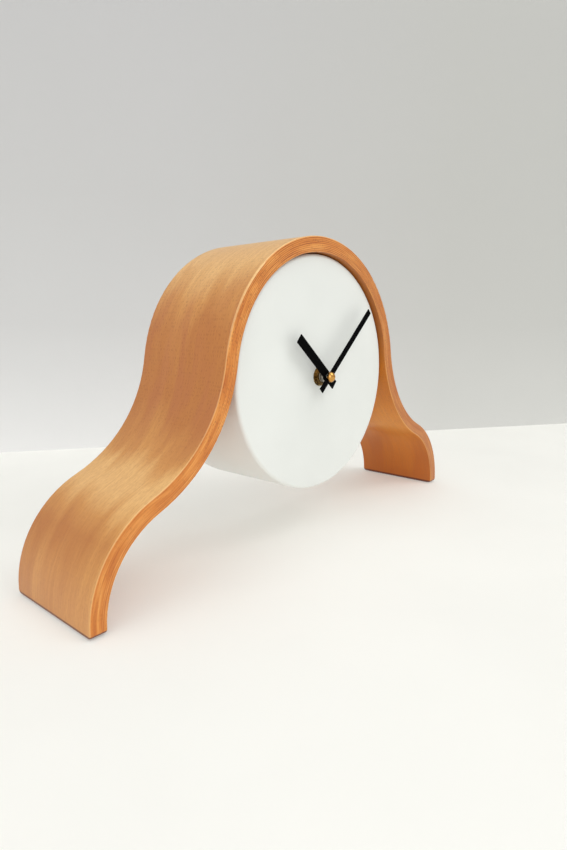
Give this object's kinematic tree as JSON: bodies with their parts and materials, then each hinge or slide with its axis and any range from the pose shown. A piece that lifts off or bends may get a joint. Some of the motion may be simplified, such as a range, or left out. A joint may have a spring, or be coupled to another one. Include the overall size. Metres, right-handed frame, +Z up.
{
  "type": "mantel clock",
  "caption": "Mantel clock: a bell-shaped bent wooden ribbon on its two feet holds a white drum with a plain dial, baton hands and a quartz movement behind.",
  "frame": {"origin": "on the floor, at the middle of the overall length and of the overall depth from the hand nut to the back of the ribbon", "axes": "+Z up, the dial faces -Y, +X to the right as seen from the front"},
  "size_m": [0.4114, 0.0974, 0.2285],
  "materials": {
    "beech": "clear satin oil on steamed beech",
    "pad_rubber": "matt dark brown",
    "white_glaze": "white gloss glaze",
    "screw_steel": "zinc plated",
    "soft_rubber": "matt black",
    "case_plastic": "fine moulded black",
    "cover_plastic": "fine moulded black",
    "bushing_metal": "nickel plated thread",
    "brass": "turned, slightly dulled",
    "cap_brass": "polished",
    "plate_plastic": "natural white acetal",
    "motor_steel": "stamped bright",
    "copper_wire": "enamelled copper wire",
    "board_laminate": "green solder mask",
    "crystal_can": "drawn can",
    "black_resin": "black resin drop",
    "contact_steel": "nickel plated spring strip",
    "battery_sleeve": "plain printed sleeve without words",
    "hand_black": "satin black",
    "arbor_steel": "turned",
    "wheel_plastic": "natural white acetal",
    "magnet": "sintered magnet, dark grey",
    "knob_plastic": "moulded grey"
  },
  "bodies": {
    "root": {"arch_ribbon": "beech", "foot_pads": "pad_rubber", "dial_drum": "white_glaze", "drum_screws": "screw_steel", "screw_cushions": "soft_rubber", "drum_spacers": "soft_rubber", "movement_case": "case_plastic", "movement_cover": "cover_plastic", "threaded_bushing": "bushing_metal", "bushing_gasket": "soft_rubber", "brass_washer": "brass", "hex_nut": "brass", "train_plate": "plate_plastic", "stator": "motor_steel", "coil_core": "motor_steel", "coil_bobbin": "plate_plastic", "coil_winding": "copper_wire", "circuit_board": "board_laminate", "quartz_crystal": "crystal_can", "driver_chip": "black_resin", "contact_negative": "contact_steel", "contact_positive": "contact_steel", "battery": "battery_sleeve"},
    "minute_assembly": {"minute_hand": "hand_black", "cap_nut": "cap_brass", "minute_arbor": "arbor_steel", "centre_wheel": "wheel_plastic"},
    "hour_assembly": {"hour_hand": "hand_black", "hour_wheel": "wheel_plastic"},
    "motion_work": {"motion_wheel": "wheel_plastic"},
    "third": {"third_wheel": "wheel_plastic"},
    "fourth": {"fourth_wheel": "wheel_plastic"},
    "fast": {"fast_wheel": "wheel_plastic"},
    "rotor": {"rotor_pinion": "wheel_plastic", "rotor_magnet": "magnet"},
    "setting": {"setting_knob": "knob_plastic"}
  },
  "joints": [
    {"name": "minute_turn", "type": "hinge", "parent": "root", "child": "minute_assembly", "pos_m": [0, -0.02485, 0.12912], "axis": [0, 1, 0], "continuous": true},
    {"name": "hour_turn", "type": "hinge", "parent": "root", "child": "hour_assembly", "pos_m": [0, -0.02485, 0.12912], "axis": [0, 1, 0], "continuous": true},
    {"name": "motion_turn", "type": "hinge", "parent": "root", "child": "motion_work", "pos_m": [0.00643, -0.02485, 0.13452], "axis": [0, 1, 0], "continuous": true},
    {"name": "third_turn", "type": "hinge", "parent": "root", "child": "third", "pos_m": [-0.00864, -0.02485, 0.13561], "axis": [0, 1, 0], "continuous": true},
    {"name": "fourth_turn", "type": "hinge", "parent": "root", "child": "fourth", "pos_m": [0, -0.02485, 0.12912], "axis": [0, 1, 0], "continuous": true},
    {"name": "fast_turn", "type": "hinge", "parent": "root", "child": "fast", "pos_m": [0.00251, -0.02485, 0.13714], "axis": [0, 1, 0], "continuous": true},
    {"name": "rotor_turn", "type": "hinge", "parent": "root", "child": "rotor", "pos_m": [0.01072, -0.02485, 0.13894], "axis": [0, 1, 0], "continuous": true},
    {"name": "setting_turn", "type": "hinge", "parent": "root", "child": "setting", "pos_m": [0.01332, -0.02485, 0.1297], "axis": [0, 1, 0], "continuous": true}
  ],
  "couplings": [
    {"joint": "hour_turn", "follows": "minute_turn", "ratio": 0.083333},
    {"joint": "motion_turn", "follows": "minute_turn", "ratio": -0.33333},
    {"joint": "third_turn", "follows": "minute_turn", "ratio": -8},
    {"joint": "fourth_turn", "follows": "minute_turn", "ratio": 60},
    {"joint": "fast_turn", "follows": "minute_turn", "ratio": -300},
    {"joint": "rotor_turn", "follows": "minute_turn", "ratio": 1800},
    {"joint": "setting_turn", "follows": "minute_turn", "ratio": 1}
  ]
}
